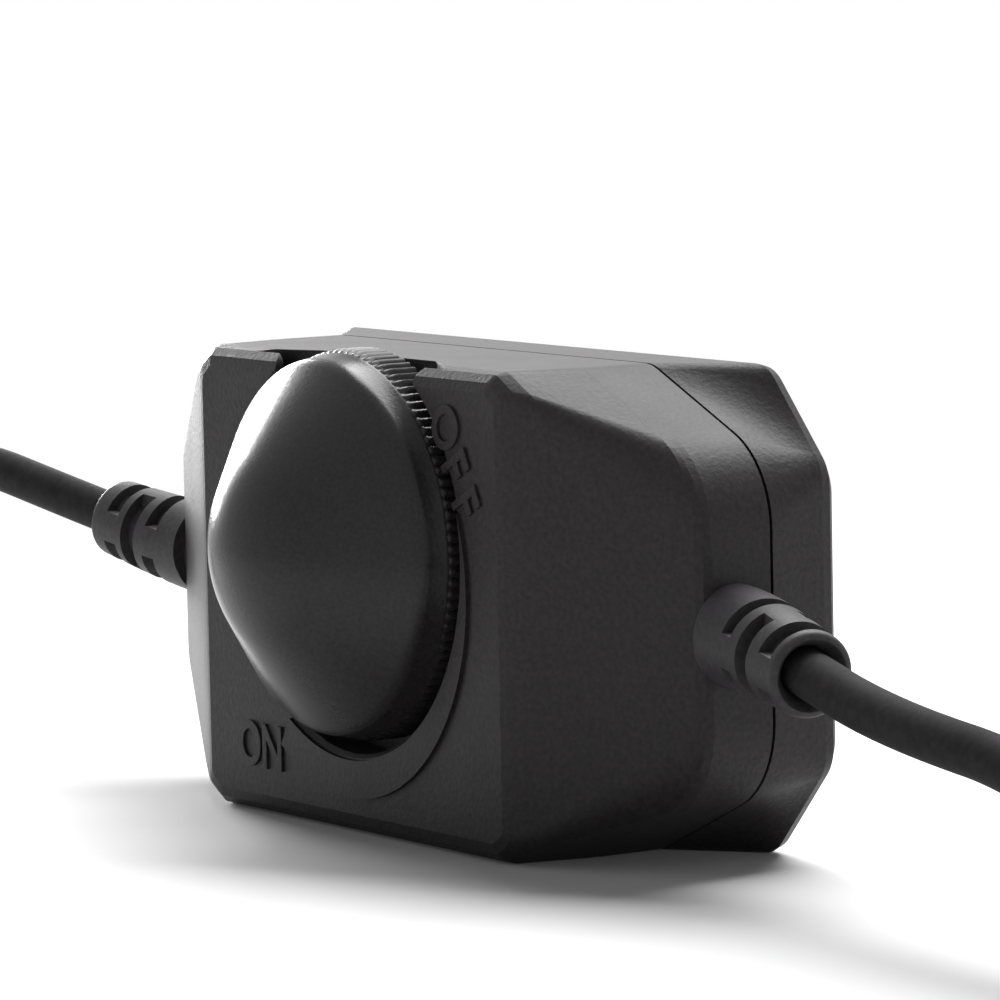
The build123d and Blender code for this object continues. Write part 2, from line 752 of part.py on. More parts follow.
def strain_relief(route, channel):
    """Tapered sleeve with three rows of slots, a neck in the wall and a flange inside."""
    side = 1 if route[0][0] > 0 else -1
    bend = Vector(*route[1])
    way = (Vector(*route[2]) - bend).normalized()
    lead_in = relief_root / 2
    base = along(bend - way * lead_in, way)
    reach = relief_length + lead_in
    with BuildPart() as sleeve:
        with BuildSketch(base):
            Circle(relief_root)
        with BuildSketch(base.offset(reach)):
            Circle(relief_tip)
        loft()
        rims = sleeve.edges().filter_by(GeomType.CIRCLE)
        fillet([rim for rim in rims if abs(rim.radius - relief_tip) < 1e-3], radius=relief_round)
        for turn, spot, slot_width in zip((0, 90, 0), slot_places, slot_widths):
            with BuildSketch(base.offset(lead_in + spot - slot_width / 2)):
                Circle(2 * relief_root)
                Circle(slot_core, mode=Mode.SUBTRACT)
                Rectangle(4 * relief_root, slot_bridge, rotation=turn, mode=Mode.SUBTRACT)
            extrude(amount=slot_width, mode=Mode.SUBTRACT)
        with BuildSketch(base.offset(reach)):
            Circle(cord_radius + relief_mouth)
        extrude(amount=-3 * relief_mouth, mode=Mode.SUBTRACT)
        # flat against the wall, then the neck and the flange
        with BuildSketch(Plane.YZ.offset(side * half)):
            with Locations((relief_y, relief_z)):
                Circle(3 * relief_root)
        extrude(amount=-side * 3 * relief_root, mode=Mode.SUBTRACT)
        with BuildSketch(Plane.YZ.offset(side * half)):
            with Locations((relief_y, relief_z)):
                Circle(neck_radius)
        extrude(amount=-side * (wall + flange_gap))
        with BuildSketch(Plane.YZ.offset(side * (half - wall - flange_gap))):
            with Locations((relief_y, relief_z)):
                Circle(flange_radius)
            with Locations((relief_y - flange_trim - flange_radius, relief_z)):
                Rectangle(2 * flange_radius, 3 * flange_radius, mode=Mode.SUBTRACT)
        extrude(amount=-side * flange_thickness)
        add(channel, mode=Mode.SUBTRACT)
    return sleeve.part


left_relief = strain_relief(left_route, left_channel)
right_relief = strain_relief(right_route, right_channel)

# Socket on the left cord: moulded body, centre pin and side spring
jack_start = left_route[-1]
jack_y = jack_start[1]
jack_z = jack_start[2]
jack_tail = jack_start[0] + cord_grip
jack_face = jack_tail - jack_length
jack_plane = Plane(origin=(0, jack_y, jack_z), x_dir=(1, 0, 0), z_dir=(0, -1, 0))
tail_radius = cord_radius + 1.2
tail_length = 7.5
face_chamfer = 0.5
spring_inset = 1.4
spring_width = 1.4
spring_sheet = 0.3
spring_room = 1.1


def jack_plane_across(x):
    """Plane across the socket, facing out of its mouth."""
    return Plane(origin=(x, jack_y, jack_z), x_dir=(0, -1, 0), z_dir=(-1, 0, 0))


with BuildPart() as socket_body:
    with BuildSketch(jack_plane):
        with BuildLine():
            Polyline((jack_face + face_chamfer, jack_radius), (jack_face, jack_radius - face_chamfer),
                     (jack_face, 0), (jack_tail, 0), (jack_tail, tail_radius),
                     (jack_tail - cord_grip, tail_radius + face_chamfer),
                     (jack_tail - tail_length, jack_radius), close=True)
        make_face()
    revolve(axis=Axis((0, jack_y, jack_z), (1, 0, 0)))
    with BuildSketch(jack_plane_across(jack_face)):
        Circle(jack_bore)
    extrude(amount=-jack_bore_depth, mode=Mode.SUBTRACT)
    with BuildSketch(jack_plane_across(jack_start[0])):
        Circle(cord_radius + clearance)
    extrude(amount=-2 * cord_grip, mode=Mode.SUBTRACT)
    # slot above the bore for the spring
    with BuildSketch(jack_plane_across(jack_face + spring_inset)):
        with Locations((0, jack_bore + spring_room / 4)):
            Rectangle(spring_width + 8 * clearance, spring_room)
    extrude(amount=-(jack_bore_depth - spring_inset), mode=Mode.SUBTRACT)

with BuildPart() as socket_pin:
    with BuildSketch(jack_plane_across(jack_face + jack_bore_depth)):
        Circle(jack_pin_radius)
    extrude(amount=jack_bore_depth - 0.8 * jack_pin_radius)
    fillet(socket_pin.edges().filter_by(GeomType.CIRCLE).sort_by(Axis.X)[0], radius=jack_pin_radius / 2)

with BuildPart() as socket_spring:
    with BuildSketch(jack_plane):
        with BuildLine():
            deep = jack_face + jack_bore_depth
            kink = deep - 3.4
            tip = deep - 7.6
            Polyline((deep, jack_bore + 0.1), (deep, jack_bore + 0.1 + spring_sheet),
                     (kink, jack_bore - 0.1 + spring_sheet), (tip, jack_bore + 0.3 + spring_sheet),
                     (tip, jack_bore + 0.3), (kink, jack_bore - 0.1), close=True)
        make_face()
    extrude(amount=spring_width / 2, both=True)

# Plug on the right cord: moulded body, barrel, insulating ring and inner contact
plug_start = right_route[-1]
plug_y = plug_start[1]
plug_z = plug_start[2]
plug_tail = plug_start[0] - cord_grip
plug_front = plug_tail + plug_length
grip_rings = 4
grip_pitch = 1.6
grip_width = 0.7
grip_depth = 0.3
grip_start = 9.5


def plug_plane(x):
    """Plane across the plug, facing its tip."""
    return Plane(origin=(x, plug_y, plug_z), x_dir=(0, 1, 0), z_dir=(1, 0, 0))


with BuildPart() as plug_body:
    with BuildSketch(Plane(origin=(0, plug_y, plug_z), x_dir=(1, 0, 0), z_dir=(0, -1, 0))):
        with BuildLine():
            Polyline((plug_tail, 0), (plug_tail, tail_radius),
                     (plug_tail + cord_grip, tail_radius + face_chamfer),
                     (plug_tail + tail_length, plug_radius - face_chamfer),
                     (plug_tail + tail_length + cord_grip / 2, plug_radius),
                     (plug_front - face_chamfer, plug_radius), (plug_front, plug_radius - face_chamfer),
                     (plug_front, 0), close=True)
        make_face()
    revolve(axis=Axis((0, plug_y, plug_z), (1, 0, 0)))
    with BuildSketch(plug_plane(plug_start[0])):
        Circle(cord_radius + clearance)
    extrude(amount=-2 * cord_grip, mode=Mode.SUBTRACT)
    for ring in range(grip_rings):
        with BuildSketch(plug_plane(plug_front - grip_start + grip_pitch * ring)):
            Circle(2 * plug_radius)
            Circle(plug_radius - grip_depth, mode=Mode.SUBTRACT)
        extrude(amount=grip_width, mode=Mode.SUBTRACT)

with BuildPart() as plug_barrel:
    with BuildSketch(plug_plane(plug_front)):
        Circle(barrel_radius)
        Circle(barrel_radius - barrel_wall, mode=Mode.SUBTRACT)
    extrude(amount=barrel_length)

with BuildPart() as plug_insulator:
    with BuildSketch(plug_plane(plug_front)):
        Circle(barrel_radius - barrel_wall)
        Circle(contact_radius + contact_wall, mode=Mode.SUBTRACT)
    extrude(amount=barrel_length - 2 * clearance)

with BuildPart() as plug_contact:
    with BuildSketch(plug_plane(plug_front)):
        Circle(contact_radius + contact_wall)
        Circle(contact_radius, mode=Mode.SUBTRACT)
    extrude(amount=barrel_length - contact_radius + clearance)

pieces = {
    "front_shell": front_shell.part, "back_shell": back_shell.part, "shell_screws": shell_screws.part,
    "knob": knob.part, "pot_shaft": pot_shaft.part, "pot_wiper": pot_wiper.part,
    "pot_sleeve": pot_sleeve.part, "pot_can": pot_can.part, "pot_track": pot_track.part,
    "pot_washer": pot_washer.part, "pot_nut": pot_nut.part, "pot_terminals": pot_terminals.part,
    "circuit_board": circuit_board.part, "power_transistor": power_transistor.part,
    "timer_chip": timer_chip.part, "regulator": regulator.part, "diode": diode.part,
    "resistors": resistors.part, "chip_capacitors": chip_capacitors.part,
    "storage_capacitor": storage_capacitor.part, "solder_joints": solder_joints.part,
    "input_lead_plus": inner_lead(-1, 1), "input_lead_minus": inner_lead(-1, -1),
    "output_lead_plus": inner_lead(1, 1), "output_lead_minus": inner_lead(1, -1),
    "strain_relief_left": left_relief, "strain_relief_right": right_relief,
    "cord_left": left_cord, "cord_right": right_cord,
    "socket_body": socket_body.part, "socket_pin": socket_pin.part, "socket_spring": socket_spring.part,
    "plug_body": plug_body.part, "plug_barrel": plug_barrel.part,
    "plug_insulator": plug_insulator.part, "plug_contact": plug_contact.part,
}

os.makedirs("parts", exist_ok=True)
for name, piece in pieces.items():
    piece.label = name
    export_step(piece, f"parts/{name}.step")

section = pi * cord_radius ** 2
for name, route, cord in (("left", left_route, left_cord), ("right", right_route, right_cord)):
    print(name, "cord radii", [round(r, 1) for r in corner_radii(route)],
          "length", round(route_length(route), 2),
          "volume over section times length", round(cord.volume / (section * route_length(route)), 4))
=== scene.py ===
import json
from math import cos, pi, radians, sin, tan

import bpy
from bpy.props import FloatProperty, FloatVectorProperty, IntProperty, PointerProperty
from mathutils import Matrix, Vector


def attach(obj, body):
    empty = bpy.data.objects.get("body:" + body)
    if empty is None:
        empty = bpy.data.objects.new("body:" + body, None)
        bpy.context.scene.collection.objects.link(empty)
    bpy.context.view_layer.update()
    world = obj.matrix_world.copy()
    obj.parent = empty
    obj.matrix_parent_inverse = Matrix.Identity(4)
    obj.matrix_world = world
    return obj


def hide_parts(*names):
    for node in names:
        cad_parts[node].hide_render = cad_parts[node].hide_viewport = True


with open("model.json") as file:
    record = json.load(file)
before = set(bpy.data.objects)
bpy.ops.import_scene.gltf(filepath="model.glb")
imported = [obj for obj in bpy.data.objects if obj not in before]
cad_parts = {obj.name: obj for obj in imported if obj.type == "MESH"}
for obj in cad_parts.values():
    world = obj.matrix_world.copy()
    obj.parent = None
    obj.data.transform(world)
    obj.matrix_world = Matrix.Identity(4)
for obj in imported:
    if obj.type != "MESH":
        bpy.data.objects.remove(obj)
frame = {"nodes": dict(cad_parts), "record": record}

bl_info = {
    "name": "LED strip dimmer",
    "version": (1, 0, 0),
    "blender": (4, 5, 0),
    "location": "View3D > Sidebar > Dimmer",
    "description": "Dresses the packed model of an in-line rotary dimmer and lights it",
    "category": "Object",
}

# All sizes below are in millimetres; meshes are made in metres
MM = 0.001

# The middle of the housing is x = 0 and y = 0; it stands on z = 0
DEPTH = 19.5
HEIGHT = 35.0
WALL_X = 35.4
KNOB_Z = 21.3
FRONT = -DEPTH / 2
MID_Z = HEIGHT / 2

# Middles of the raised letters on the front, as x and z
OFF_SPOTS = [("O", (13.97, 30.8)), ("F", (15.2, 28.05)), ("F", (16.5, 25.5))]
ON_SPOTS = [("O", (-14.1, 5.3)), ("N", (-10.9, 5.25))]
# A font's size over the height of its capitals
FONT_SHARE = 1.39

# Steps round a revolved piece, and along each run of a sleeve
KNOB_STEPS = 192
SLEEVE_STEPS = 96
SLEEVE_ROWS = 12

# Sharpest angle in degrees that still shades smooth
CAD_SMOOTH = 30
KNOB_SMOOTH = 32
SLEEVE_SMOOTH = 38
LETTER_SMOOTH = 40

# The lamps: place and size in metres
KEY_PLACE = (-0.25, 0.42, 0.8)
KEY_SIZE = (0.8, 0.6)
BACK_PLACE = (-0.93, 0.19, 0.18)
BACK_SIZE = (0.34, 0.3)
FLOOR_SIZE = 40
# Share of plain white in the floor beside the object
FLOOR_GLOW = 0.02

# Noise rises from low to high between these values
NOISE_LOW = 0.3
NOISE_HIGH = 0.7

# Each sleeve's slots: distance from the wall, width, and whether they open to the front and back
# or to the top and bottom. The right sleeve is flexed, which spreads its slots
SLOTS = {
    "left": [(3.65, 1.3, False), (5.85, 1.5, True), (8.1, 1.4, False)],
    "right": [(4.5, 1.4, False), (7.1, 1.7, True), (10.2, 1.8, False)],
}

# Control points of the cords: straight out of the wall, along the photograph's line, then to the floor
LEFT_ROUTE = [
    (-28.5, 0.25, 17.2), (-35.4, 0.25, 17.2), (-43.55, -2.3, 18.96),
    (-75.34, -6.6, 25.1), (-92.0, -8.75, 5.2), (-105.0, -8.75, 5.2),
]
RIGHT_ROUTE = [
    (28.5, 0.25, 17.2), (35.4, 0.25, 17.2), (44.62, -2.0, 16.15), (59.04, -5.0, 13.87),
    (80.77, -7.9, 12.67), (92.0, -9.15, 5.0), (104.0, -9.15, 5.0),
]


def size(label, text, value):
    """A length in millimetres that a user may change."""
    return FloatProperty(name=label, description=f"{text}, in millimetres", default=value)


def turn(label, text, value):
    """An angle in degrees that a user may change."""
    return FloatProperty(name=label, description=f"{text}, in degrees", default=value)


def tone(label, text, value):
    """A colour that a user may change."""
    return FloatVectorProperty(
        name=label, description=text, subtype="COLOR", size=3, min=0, max=1, default=value,
    )


def power(label, text, value):
    """The power of a lamp that a user may change."""
    return FloatProperty(name=label, description=text, unit="POWER", default=value)


class DimmerCamera(bpy.types.PropertyGroup):
    """Where the photograph was taken from."""
    x: size("X", "Place along the cords", 381.0234)
    y: size("Y", "Place across the cords", -245.0776)
    z: size("Z", "Height over the floor", 68.7213)
    azimuth: turn("Azimuth", "Turn round the upright, from looking along +Y", 56.852)
    pitch: turn("Pitch", "Tilt upwards", -5.6535)
    roll: turn("Roll", "Turn about the line of sight", -1.1927)
    focal: size("Focal length", "Focal length of the lens", 221.844)


class DimmerKnob(bpy.types.PropertyGroup):
    """The knob's outline and its knurl; depths are counted back from the flat front."""
    tip: size("Tip", "How far the knob stands out of the front", 9.9)
    cap_radius: size("Cap radius", "Radius of the round tip", 11.5)
    cap_half_angle: turn("Cone angle", "Angle between the cone and the front", 37.8)
    cone_radius: size("Cone radius", "Widest radius of the smooth cone", 13.8)
    wheel_radius: size("Wheel radius", "Radius over the teeth", 14.4)
    wheel_front: size("Wheel front", "Depth of the wheel's front", -0.3)
    wheel_back: size("Wheel back", "Depth of the wheel's back", 3.0)
    teeth: IntProperty(name="Teeth", description="Number of teeth round the wheel", default=108)
    tooth_height: size("Tooth height", "Depth of the grooves between the teeth", 0.28)
    wall: size("Wall", "Thickness of the moulding", 1.4)
    hub_radius: size("Hub radius", "Radius of the hub inside the cone", 5.0)
    hub_back: size("Hub back", "Depth of the hub's back", 0.4)
    bore_radius: size("Bore radius", "Radius of the bore for the shaft", 3.05)
    bore_front: size("Bore front", "Depth of the bore's blind end", -6.2)


class DimmerLetters(bpy.types.PropertyGroup):
    """Size of the words on the front."""
    height: size("Height", "Height of a capital", 3.3)
    relief: size("Relief", "How far the letters are raised below their rounded edge", 0.18)
    boldness: size("Boldness", "What each stroke gains on either side", 0.08)
    width: FloatProperty(name="Width", description="Width of a letter against the font's own", default=0.87)
    off_turn: turn("OFF turn", "Turn of the word OFF, clockwise", 62.7)


class DimmerRelief(bpy.types.PropertyGroup):
    """The slotted sleeve that each cord leaves the housing through."""
    left_length: size("Left length", "From the wall to the left sleeve's end", 11.3)
    right_length: size("Right length", "From the wall to the right sleeve's end", 12.8)
    root_radius: size("Root radius", "Outer radius at the wall", 3.65)
    tip_radius: size("Tip radius", "Outer radius at the end", 3.05)
    core_radius: size("Core radius", "Radius at the bottom of the slots", 2.35)
    bridge: size("Bridge", "Width of what is left between two slots", 2.4)
    bore: size("Bore", "Radius of the bore", 1.72)
    mouth_radius: size("Mouth radius", "Radius of the open end", 2.5)
    mouth_depth: size("Mouth depth", "Depth of the open end", 1.6)
    neck_radius: size("Neck radius", "Radius in the wall's hole", 3.1)
    neck_length: size("Neck length", "From the wall's outside to the flange", 2.3)
    flange_radius: size("Flange radius", "Radius of the flange inside the wall", 4.3)
    flange_thickness: size("Flange thickness", "Thickness of the flange", 1.5)
    flange_trim: size("Flange trim", "From the cord's middle to the flange's flat side", 1.8)


class DimmerCords(bpy.types.PropertyGroup):
    """The round cords."""
    radius: size("Radius", "Radius of the jacket", 1.7)
    left_length: size("Left length", "Length of the left cord", 81.77)
    right_length: size("Right length", "Length of the right cord", 78.16)


class DimmerColours(bpy.types.PropertyGroup):
    """Mean colour of each finish, by the record's material slots."""
    housing: tone("Housing", "Moulded shells and their letters", (0.0215, 0.019, 0.0205))
    knob: tone("Knob", "Knob", (0.0205, 0.0185, 0.02))
    cord_jacket: tone("Cords", "Jackets of the cords", (0.02, 0.0185, 0.02))
    relief: tone("Strain reliefs", "Slotted sleeves", (0.031, 0.0285, 0.031))
    moulding: tone("Connectors", "Bodies of the plug and the socket", (0.021, 0.0195, 0.021))
    nickel: tone("Nickel", "Plated contacts", (0.72, 0.7, 0.66))
    zinc: tone("Zinc", "Plated inner parts", (0.525, 0.525, 0.535))
    screw_steel: tone("Screws", "Blackened screws", (0.075, 0.075, 0.078))
    board: tone("Board", "Circuit board", (0.0125, 0.16, 0.065))
    chip: tone("Chips", "Bodies of the small parts", (0.0225, 0.0225, 0.0245))
    phenolic: tone("Phenolic", "Wafer of the control", (0.21, 0.1, 0.045))
    ceramic: tone("Ceramic", "Resistors and discs", (0.47, 0.37, 0.25))
    can: tone("Can", "Metal cans", (0.57, 0.57, 0.58))
    solder: tone("Solder", "Solder joints", (0.58, 0.58, 0.6))
    wire_red: tone("Red wire", "Insulation of the live wires", (0.37, 0.015, 0.015))
    wire_black: tone("Black wire", "Insulation of the return wires", (0.017, 0.017, 0.017))
    insulator: tone("Insulator", "Sleeve inside the plug's barrel", (0.016, 0.016, 0.016))


class DimmerStage(bpy.types.PropertyGroup):
    """Floor, lamps and surroundings."""
    floor: tone("Floor", "Colour of the floor", (0.9, 0.9, 0.9))
    near: size("Near", "Reach of the floor that shows its shadows in full", 70.0)
    far: size("Far", "How far from the middle the floor is plain white", 260.0)
    fill: FloatProperty(name="Fill", description="Strength of the light from all round", default=0.14)
    key: power("Key", "Power of the lamp over the object", 15.0)
    back: power("Back", "Power of the lamp behind the object", 20.0)


class DimmerSettings(bpy.types.PropertyGroup):
    """All settings of the dimmer."""
    camera: PointerProperty(type=DimmerCamera)
    knob: PointerProperty(type=DimmerKnob)
    letters: PointerProperty(type=DimmerLetters)
    relief: PointerProperty(type=DimmerRelief)
    cords: PointerProperty(type=DimmerCords)
    colours: PointerProperty(type=DimmerColours)
    stage: PointerProperty(type=DimmerStage)


def activate(piece):
    """Makes a piece the only selected object."""
    for other in bpy.context.selected_objects:
        other.select_set(False)
    piece.select_set(True)
    bpy.context.view_layer.objects.active = piece


def start_editing(piece):
    """Enters edit mode with the whole mesh selected."""
    activate(piece)
    bpy.ops.object.mode_set(mode="EDIT")
    bpy.ops.mesh.select_all(action="SELECT")


def stop_editing():
    """Leaves edit mode."""
    bpy.ops.object.mode_set(mode="OBJECT")


def mesh_piece(name, points, edges=(), faces=()):
    """New mesh object from points in millimetres."""
    mesh = bpy.data.meshes.new(name)
    mesh.from_pydata([Vector(point) * MM for point in points], edges, faces)
    piece = bpy.data.objects.new(name, mesh)
    bpy.context.scene.collection.objects.link(piece)
    return piece


def smooth(piece, angle):
    """Shades a piece smooth, except over edges sharper than the angle."""
    activate(piece)
    bpy.ops.object.shade_smooth_by_angle(angle=radians(angle))


def lathe(name, profile, centre, axis, steps, closed=False):
    """Turns a profile of points round an axis through a centre; a closed profile makes a ring."""
    edges = [(i, i + 1) for i in range(len(profile) - 1)]
    if closed:
        edges.append((len(profile) - 1, 0))
    piece = mesh_piece(name, profile, edges)
    start_editing(piece)
    bpy.ops.mesh.spin(steps=steps, angle=2 * pi, center=Vector(centre) * MM, axis=axis)
    bpy.ops.mesh.select_all(action="SELECT")
    bpy.ops.mesh.remove_doubles(threshold=1e-6)
    bpy.ops.mesh.normals_make_consistent(inside=False)
    stop_editing()
    return piece


def join(name, pieces):
    """Joins pieces into the first one and names it."""
    activate(pieces[0])
    for piece in pieces[1:]:
        piece.select_set(True)
    bpy.ops.object.join()
    pieces[0].name = name
    return pieces[0]


def apply_modifier(piece, kind, **values):
    """Adds a modifier with the given values and applies it."""
    modifier = piece.modifiers.new(kind.lower(), kind)
    for key, value in values.items():
        setattr(modifier, key, value)
    activate(piece)
    bpy.ops.object.modifier_apply(modifier=modifier.name)


def cut(piece, cutter):
    """Cuts one closed piece out of another."""
    apply_modifier(piece, "BOOLEAN", operation="DIFFERENCE", solver="EXACT", object=cutter)
    bpy.data.objects.remove(cutter)


def block(name, low, high):
    """Box between two corners in millimetres."""
    low, high = Vector(low) * MM, Vector(high) * MM
    bpy.ops.object.select_all(action="DESELECT")
    bpy.ops.mesh.primitive_cube_add(size=1, location=(low + high) / 2)
    piece = bpy.context.active_object
    piece.name = name
    piece.scale = high - low
    bpy.ops.object.transform_apply(location=True, rotation=True, scale=True)
    return piece


def grain_group():
    """Node group: moulded grain as a bump and as a tone from 0 to 1, and wider patches."""
    if "moulded_grain" in bpy.data.node_groups:
        return bpy.data.node_groups["moulded_grain"]
    tree = bpy.data.node_groups.new("moulded_grain", "ShaderNodeTree")
    for label in ("Scale", "Depth", "Patches"):
        tree.interface.new_socket(label, in_out="INPUT", socket_type="NodeSocketFloat")
    for label, kind in (("Normal", "Vector"), ("Grain", "Float"), ("Patch", "Float")):
        tree.interface.new_socket(label, in_out="OUTPUT", socket_type=f"NodeSocket{kind}")
    given = tree.nodes.new("NodeGroupInput")
    out = tree.nodes.new("NodeGroupOutput")
    place = tree.nodes.new("ShaderNodeTexCoord")
    grain = tree.nodes.new("ShaderNodeTexNoise")
    grain.inputs["Detail"].default_value = 3.0
    patch = tree.nodes.new("ShaderNodeTexNoise")
    patch.inputs["Detail"].default_value = 4.0
    bump = tree.nodes.new("ShaderNodeBump")
    bump.inputs["Distance"].default_value = 0.0001
    tree.links.new(place.outputs["Object"], grain.inputs["Vector"])
    tree.links.new(place.outputs["Object"], patch.inputs["Vector"])
    tree.links.new(given.outputs["Scale"], grain.inputs["Scale"])
    tree.links.new(given.outputs["Patches"], patch.inputs["Scale"])
    tree.links.new(given.outputs["Depth"], bump.inputs["Strength"])
    tree.links.new(grain.outputs["Fac"], bump.inputs["Height"])
    tree.links.new(bump.outputs["Normal"], out.inputs["Normal"])
    tree.links.new(grain.outputs["Fac"], out.inputs["Grain"])
    tree.links.new(patch.outputs["Fac"], out.inputs["Patch"])
    return tree


def finish_material(name, mean, spread, rough, grain, depth, patches, metallic=0.0, specular=0.5):
    """Material whose colour varies with the moulded grain, and its roughness with the patches."""
    material = bpy.data.materials.new(name)
    material.use_nodes = True
    nodes = material.node_tree.nodes
    links = material.node_tree.links
    shader = nodes["Principled BSDF"]
    shader.inputs["Metallic"].default_value = metallic
    shader.inputs["Specular IOR Level"].default_value = specular
    group = nodes.new("ShaderNodeGroup")
    group.node_tree = grain_group()
    group.inputs["Scale"].default_value = grain
    group.inputs["Depth"].default_value = depth
    group.inputs["Patches"].default_value = patches
    colour = nodes.new("ShaderNodeValToRGB")
    darkest, lightest = colour.color_ramp.elements
    darkest.position = NOISE_LOW
    darkest.color = (*((1 - spread) * value for value in mean), 1)
    lightest.position = NOISE_HIGH
    lightest.color = (*((1 + spread) * value for value in mean), 1)
    gloss = nodes.new("ShaderNodeMapRange")
    gloss.inputs["From Min"].default_value = NOISE_LOW
    gloss.inputs["From Max"].default_value = NOISE_HIGH
    gloss.inputs["To Min"].default_value = rough[0]
    gloss.inputs["To Max"].default_value = rough[1]
    links.new(group.outputs["Grain"], colour.inputs["Fac"])
    links.new(colour.outputs["Color"], shader.inputs["Base Color"])
    links.new(group.outputs["Patch"], gloss.inputs["Value"])
    links.new(gloss.outputs["Result"], shader.inputs["Roughness"])
    links.new(group.outputs["Normal"], shader.inputs["Normal"])
    return material


# Each finish: how far its colour spreads about the mean, its lowest and highest roughness, the scale
# and depth of its grain, and the scale of its patches
FINISHES = {
    "housing": dict(spread=0.29, rough=(0.44, 0.54), grain=2600, depth=0.4, patches=70, specular=0.19),
    "knob": dict(spread=0.26, rough=(0.2, 0.26), grain=3400, depth=0.14, patches=90, specular=0.19),
    "cord_jacket": dict(spread=0.26, rough=(0.65, 0.75), grain=1500, depth=0.2, patches=120, specular=0.08),
    "relief": dict(spread=0.26, rough=(0.5, 0.6), grain=2200, depth=0.35, patches=120, specular=0.3),
    "moulding": dict(spread=0.26, rough=(0.36, 0.46), grain=2000, depth=0.2, patches=90, specular=0.34),
    "nickel": dict(spread=0.08, rough=(0.16, 0.24), grain=1200, depth=0.06, patches=200, metallic=1.0),
    "zinc": dict(spread=0.14, rough=(0.3, 0.42), grain=1400, depth=0.12, patches=300, metallic=1.0),
    "screw_steel": dict(spread=0.33, rough=(0.35, 0.45), grain=1800, depth=0.1, patches=300, metallic=1.0),
    "board": dict(spread=0.19, rough=(0.3, 0.4), grain=900, depth=0.15, patches=150),
    "chip": dict(spread=0.33, rough=(0.5, 0.6), grain=3000, depth=0.25, patches=200, specular=0.4),
    "phenolic": dict(spread=0.27, rough=(0.45, 0.6), grain=900, depth=0.2, patches=200, specular=0.4),
    "ceramic": dict(spread=0.14, rough=(0.4, 0.5), grain=2000, depth=0.2, patches=200),
    "can": dict(spread=0.12, rough=(0.25, 0.35), grain=1500, depth=0.08, patches=200, metallic=1.0),
    "solder": dict(spread=0.14, rough=(0.2, 0.35), grain=1500, depth=0.2, patches=300, metallic=1.0),
    "wire_red": dict(spread=0.2, rough=(0.35, 0.45), grain=1500, depth=0.1, patches=200),
    "wire_black": dict(spread=0.29, rough=(0.35, 0.45), grain=1500, depth=0.1, patches=200, specular=0.4),
    "insulator": dict(spread=0.25, rough=(0.2, 0.3), grain=2000, depth=0.05, patches=200),
}


def finish_of(slot):
    """The material of a record slot, made once."""
    name = f"{slot}_finish"
    if name in bpy.data.materials:
        return bpy.data.materials[name]
    return finish_material(name, getattr(bpy.context.scene.dimmer.colours, slot), **FINISHES[slot])


def dress(piece, slot):
    """Gives a new piece the finish of its record slot."""
    piece.data.materials.clear()
    piece.data.materials.append(finish_of(slot))


def cord_line(name, route):
    """Smooth line with the route's points as its control points."""
    curve = bpy.data.curves.new(name, "CURVE")
    curve.dimensions = "3D"
    spline = curve.splines.new("NURBS")
    spline.points.add(len(route) - 1)
    for point, place in zip(spline.points, route):
        point.co = (*(Vector(place) * MM), 1)
    spline.order_u = 3
    spline.use_endpoint_u = True
    spline.resolution_u = 24
    curve.twist_mode = "Z_UP"
    piece = bpy.data.objects.new(name, curve)
    bpy.context.scene.collection.objects.link(piece)
    return piece


class DIMMER_OT_camera(bpy.types.Operator):
    """Place the camera where the photograph was taken from"""
    bl_idname = "dimmer.camera"
    bl_label = "Camera"

    def execute(self, context):
        settings = context.scene.dimmer.camera
        azimuth, pitch, roll = (radians(v) for v in (settings.azimuth, settings.pitch, settings.roll))
        ahead = Vector((-sin(azimuth) * cos(pitch), cos(azimuth) * cos(pitch), sin(pitch)))
        level = Vector((cos(azimuth), sin(azimuth), 0))
        upright = level.cross(ahead)
        right = cos(roll) * level + sin(roll) * upright
        up = cos(roll) * upright - sin(roll) * level
        data = bpy.data.cameras.new("camera")
        data.sensor_fit = "HORIZONTAL"
        data.sensor_width = 36
        data.lens = settings.focal
        data.clip_start = 0.01
        data.clip_end = 20
        camera = bpy.data.objects.new("camera", data)
        context.scene.collection.objects.link(camera)
        facing = Matrix((right, up, -ahead)).transposed().to_4x4()
        place = Vector((settings.x, settings.y, settings.z)) * MM
        camera.matrix_world = Matrix.Translation(place) @ facing
        context.scene.camera = camera
        return {"FINISHED"}


class DIMMER_OT_cords(bpy.types.Operator):
    """Lay the two cords"""
    bl_idname = "dimmer.cords"
    bl_label = "Cords"

    def execute(self, context):
        settings = context.scene.dimmer.cords
        ends = {
            "left": (LEFT_ROUTE, settings.left_length, "connector",
                     ["socket_body", "socket_pin", "socket_spring"]),
            "right": (RIGHT_ROUTE, settings.right_length, "plug",
                      ["plug_body", "plug_barrel", "plug_insulator", "plug_contact"]),
        }
        for side, (route, length, far_end, on_it) in ends.items():
            piece = cord_line(f"{side}_cord_jacket", route)
            # the radius sits on the points, because the curve's box grows by what the points hold
            piece.data.bevel_depth = 1
            for point in piece.data.splines[0].points:
                point.radius = settings.radius * MM
            piece.data.bevel_resolution = 10
            piece.data.use_fill_caps = True
            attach(piece, "housing")
            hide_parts(f"cord_{side}")
            dress(piece, "cord_jacket")
        return {"FINISHED"}


